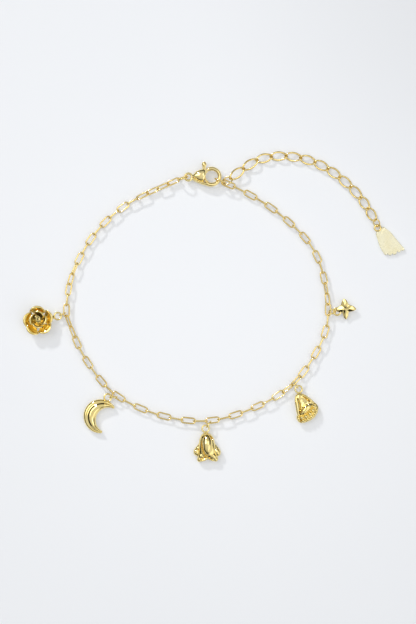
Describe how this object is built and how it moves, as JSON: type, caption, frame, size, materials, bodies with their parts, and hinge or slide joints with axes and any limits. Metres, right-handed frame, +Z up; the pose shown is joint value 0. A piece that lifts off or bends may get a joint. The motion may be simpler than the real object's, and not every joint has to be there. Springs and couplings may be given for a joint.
{
  "type": "charm anklet",
  "caption": "Charm anklet lying flat: paperclip-link loop with rose, moon, bell flower, foot and star charms, lobster clasp, curb extender and flat tag",
  "frame": {"origin": "middle of the whole anklet's footprint, on the plane that it lies on", "axes": "+Z up from that plane, +X towards the tag at the end of the extender, +Y towards the clasp"},
  "size_m": [0.1056, 0.0862, 0.0047],
  "materials": {
    "chain_gold": "polished gold plate",
    "clasp_gold": "bright polished gold plate",
    "charm_gold": "high-polish gold plate",
    "rose_gold": "polished deep yellow gold plate",
    "tag_gold": "mirror-polished pale gold plate"
  },
  "bodies": {
    "anklet": {"chain_right": "chain_gold", "chain_left": "chain_gold", "hook_ring": "chain_gold", "clasp_ring": "chain_gold", "extender_ring": "chain_gold", "tag_ring": "chain_gold", "rose_ring": "chain_gold", "moon_ring": "chain_gold", "bud_ring": "chain_gold", "foot_ring": "chain_gold", "star_ring": "chain_gold", "extender_link_01": "chain_gold", "extender_link_02": "chain_gold", "extender_link_03": "chain_gold", "extender_link_04": "chain_gold", "extender_link_05": "chain_gold", "extender_link_06": "chain_gold", "extender_link_07": "chain_gold", "extender_link_08": "chain_gold", "extender_link_09": "chain_gold", "extender_link_10": "chain_gold", "extender_link_11": "chain_gold", "extender_link_12": "chain_gold", "clasp_body": "clasp_gold", "clasp_pin": "clasp_gold", "moon_charm": "charm_gold", "bud_charm": "charm_gold", "foot_charm": "charm_gold", "star_charm": "charm_gold", "rose_charm": "rose_gold", "tag": "tag_gold"},
    "lever": {"clasp_lever": "clasp_gold"}
  },
  "joints": [
    {"name": "lever_hinge", "type": "hinge", "parent": "anklet", "child": "lever", "pos_m": [-0.00182, 0.03449, 0.00132], "axis": [0, 0, 1], "range_deg": [0, 20], "stiffness_Nm_per_rad": 0.005, "springref_deg": -17.19}
  ]
}
